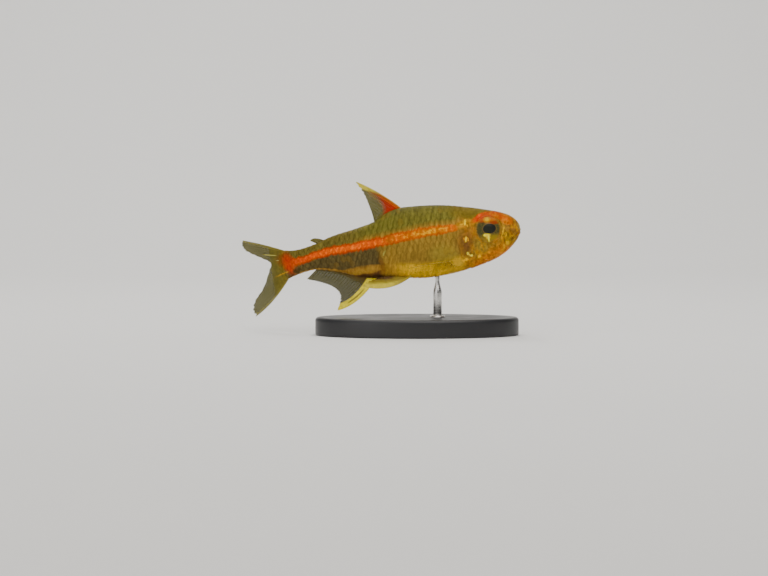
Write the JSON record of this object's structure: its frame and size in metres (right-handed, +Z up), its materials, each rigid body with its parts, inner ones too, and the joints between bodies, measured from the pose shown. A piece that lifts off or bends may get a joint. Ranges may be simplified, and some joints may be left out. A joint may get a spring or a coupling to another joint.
{
  "type": "glowlight tetra display model",
  "caption": "Life-size still glowlight tetra, head up with its tail swung aside, held by one rod over a flat oval base.",
  "frame": {"origin": "on the floor under the stand, at the middle of the model's length and width", "axes": "+X towards the snout, +Y to the fish's left, +Z up; the tail swings towards +Y"},
  "size_m": [0.0389, 0.0163, 0.0211],
  "materials": {
    "head_skin": "moist golden skin with a red-orange glow over the eye",
    "body_skin": "moist olive-gold scales with a glowing orange-red stripe",
    "eye": "wet, black pupil in an orange and silver iris",
    "dorsal_fin": "thin membrane, red in front with a white edge",
    "clear_fin": "thin, nearly clear membrane between fine rays",
    "pelvic_fin": "thin olive-yellow membrane with a white edge",
    "base_black": "satin black",
    "rod_steel": "fine brushed steel"
  },
  "bodies": {
    "root": {"head": "head_skin", "trunk": "body_skin", "tail_stalk": "body_skin", "eye_left": "eye", "eye_right": "eye", "dorsal_fin": "dorsal_fin", "adipose_fin": "clear_fin", "anal_fin": "clear_fin", "caudal_fin_upper": "clear_fin", "caudal_fin_lower": "clear_fin", "pelvic_fin_left": "pelvic_fin", "pelvic_fin_right": "pelvic_fin", "pectoral_fin_left": "clear_fin", "pectoral_fin_right": "clear_fin", "stand_base": "base_black", "stand_rod": "rod_steel"}
  },
  "joints": []
}
